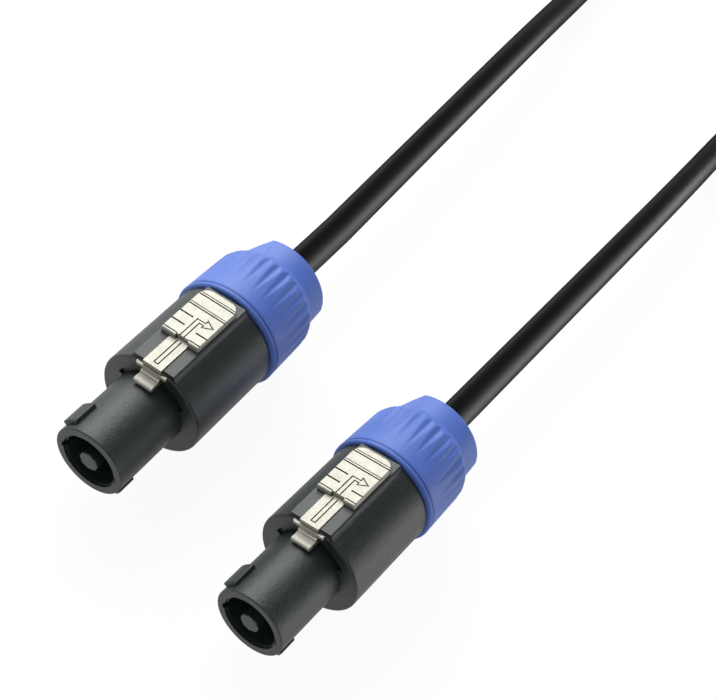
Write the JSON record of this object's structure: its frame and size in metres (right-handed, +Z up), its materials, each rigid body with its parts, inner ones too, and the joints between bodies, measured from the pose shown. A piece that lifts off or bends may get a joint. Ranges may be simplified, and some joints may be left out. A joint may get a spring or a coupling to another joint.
{
  "type": "loudspeaker cable",
  "caption": "Two-core loudspeaker cable with a four-pole twist-lock plug on each end: sprung sliding latch, screw bushing and strain-relief chuck.",
  "frame": {"origin": "centre of the nose face of plug A", "axes": "+Y from the nose of plug A to its cable, +Z up from the floor, +X towards plug B; the floor is 15.8 mm below the origin"},
  "size_m": [0.0924, 0.3506, 0.0331],
  "materials": {
    "housing_black": "fine moulded texture",
    "insert_black": "fine moulded texture",
    "bushing_blue": "satin moulded",
    "nickel": "satin nickel plate on die casting",
    "screw_steel": "zinc plated",
    "contact_metal": "bright",
    "chuck_grey": "moulded",
    "jacket": "satin flexible sheath",
    "core_red": "extruded insulation",
    "core_dark": "extruded insulation",
    "copper": "bare stranded copper",
    "filler": "twisted cord"
  },
  "bodies": {
    "cable": {"cable_jacket": "jacket", "cable_core_positive": "core_red", "cable_core_negative": "core_dark", "cable_conductors": "copper", "filler_cords": "filler"},
    "lead_a": {"lead_jacket_a": "jacket", "lead_cores_a": "core_red", "lead_conductors_a": "copper"},
    "plug_a": {"housing_a": "housing_black", "nose_insert_a": "insert_black", "contacts_a": "contact_metal", "terminal_screws_a": "screw_steel", "latch_spring_a": "screw_steel", "tail_jacket_a": "jacket", "tail_core_positive_a": "core_red", "tail_core_negative_a": "core_dark", "tail_conductors_a": "copper"},
    "latch_a": {"latch_a": "nickel"},
    "chuck_a": {"strain_relief_chuck_a": "chuck_grey"},
    "bushing_a": {"bushing_a": "bushing_blue"},
    "lead_b": {"lead_jacket_b": "jacket", "lead_cores_b": "core_red", "lead_conductors_b": "copper"},
    "plug_b": {"housing_b": "housing_black", "nose_insert_b": "insert_black", "contacts_b": "contact_metal", "terminal_screws_b": "screw_steel", "latch_spring_b": "screw_steel", "tail_jacket_b": "jacket", "tail_core_positive_b": "core_red", "tail_core_negative_b": "core_dark", "tail_conductors_b": "copper"},
    "latch_b": {"latch_b": "nickel"},
    "chuck_b": {"strain_relief_chuck_b": "chuck_grey"},
    "bushing_b": {"bushing_b": "bushing_blue"}
  },
  "joints": [
    {"name": "lift_a", "type": "hinge", "parent": "cable", "child": "lead_a", "pos_m": [-0.00157, 0.16398, 0], "axis": [-0.9997, -0.0262, 0], "range_deg": [0, 25]},
    {"name": "swing_a", "type": "hinge", "parent": "lead_a", "child": "plug_a", "pos_m": [0, 0.104, 0], "axis": [0, 0, 1], "range_deg": [-28, 6]},
    {"name": "latch_slide_a", "type": "slide", "parent": "plug_a", "child": "latch_a", "axis": [0, 1, 0], "range_m": [0, 0.0022], "stiffness_N_per_m": 400, "springref_m": -0.003, "deforming": ["latch_spring_a"]},
    {"name": "chuck_travel_a", "type": "slide", "parent": "plug_a", "child": "chuck_a", "axis": [0, 1, 0], "range_m": [0, 0.006]},
    {"name": "bushing_turn_a", "type": "hinge", "parent": "chuck_a", "child": "bushing_a", "pos_m": [0, 0.06, 0], "axis": [0, 1, 0], "range_deg": [0, 720]},
    {"name": "lift_b", "type": "hinge", "parent": "cable", "child": "lead_b", "pos_m": [0.06361, 0.16269, 0], "axis": [-0.9981, 0.061, 0], "range_deg": [0, 25]},
    {"name": "swing_b", "type": "hinge", "parent": "lead_b", "child": "plug_b", "pos_m": [0.05995, 0.10281, 0], "axis": [0, 0, 1], "range_deg": [-6, 28]},
    {"name": "latch_slide_b", "type": "slide", "parent": "plug_b", "child": "latch_b", "axis": [0.061, 0.9981, 0], "range_m": [0, 0.0022], "stiffness_N_per_m": 400, "springref_m": -0.003, "deforming": ["latch_spring_b"]},
    {"name": "chuck_travel_b", "type": "slide", "parent": "plug_b", "child": "chuck_b", "axis": [0.061, 0.9981, 0], "range_m": [0, 0.006]},
    {"name": "bushing_turn_b", "type": "hinge", "parent": "chuck_b", "child": "bushing_b", "pos_m": [0.05726, 0.05889, 0], "axis": [0.061, 0.9981, 0], "range_deg": [0, 720]}
  ],
  "couplings": [
    {"joint": "bushing_turn_a", "follows": "chuck_travel_a", "rad_per_m": 2094.4},
    {"joint": "bushing_turn_b", "follows": "chuck_travel_b", "rad_per_m": 2094.4}
  ]
}
